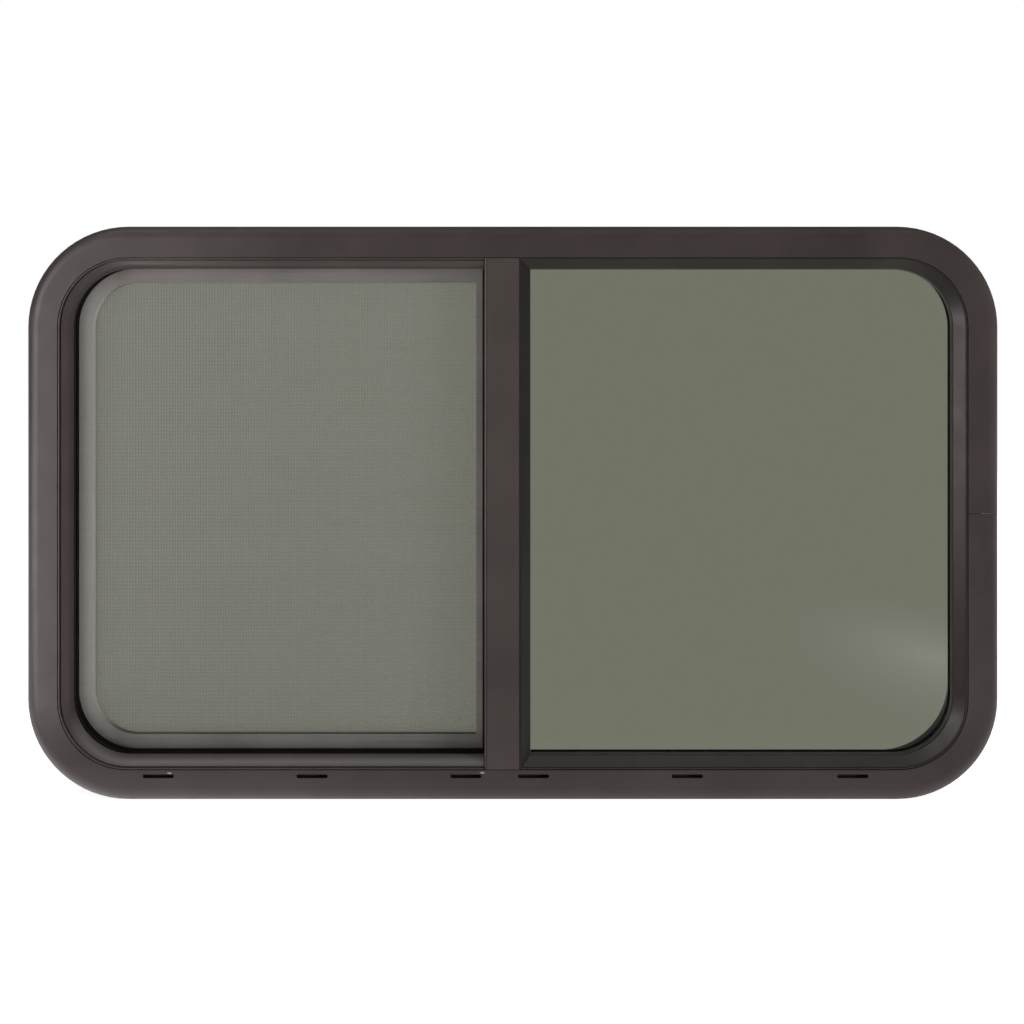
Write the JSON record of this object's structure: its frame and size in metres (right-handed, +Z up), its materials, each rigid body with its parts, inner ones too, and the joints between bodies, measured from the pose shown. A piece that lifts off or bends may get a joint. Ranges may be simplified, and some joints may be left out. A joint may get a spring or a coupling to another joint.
{
  "type": "sliding caravan window",
  "caption": "Horizontal sliding caravan window with rounded corners: flanged frame, fixed tinted pane, sliding pane behind an insect screen, and an inner clamp ring.",
  "frame": {"origin": "bottom centre of the flange's back face, which lies on the wall's outer skin", "axes": "+X to the right seen from outside, +Y into the vehicle through the wall, +Z up"},
  "size_m": [0.965, 0.0595, 0.57],
  "materials": {
    "bronze_paint": "satin bronze paint on aluminium",
    "bead_paint": "satin dark bronze paint on aluminium",
    "screen_paint": "satin grey-brown paint on aluminium",
    "bare_aluminium": "mill",
    "tinted_glass": "clear tinted",
    "black_rubber": "matt",
    "pile": "fuzzy",
    "mesh_fabric": "coated glass-fibre mesh",
    "black_plastic": "fine grain",
    "natural_plastic": "smooth"
  },
  "bodies": {
    "root": {"main_frame": "bronze_paint", "joint_key": "bare_aluminium", "screen_bead": "bronze_paint", "fixed_bead": "bead_paint", "mullion": "bronze_paint", "mullion_bead": "bead_paint", "fixed_glass": "tinted_glass", "fixed_gasket": "black_rubber", "setting_blocks": "black_rubber", "screen_seal": "black_rubber", "screen_frame": "screen_paint", "screen_stile": "screen_paint", "screen_keys": "bare_aluminium", "screen_mesh": "mesh_fabric", "screen_spline": "black_rubber", "sliding_glass": "tinted_glass", "meeting_stile": "bronze_paint", "stile_caps": "black_plastic", "mullion_pile": "pile", "track_glides": "natural_plastic", "jamb_buffers": "black_rubber", "latch_body": "black_plastic", "latch_lever": "black_plastic", "latch_keeper": "bare_aluminium", "clamp_ring": "bronze_paint"}
  },
  "joints": []
}
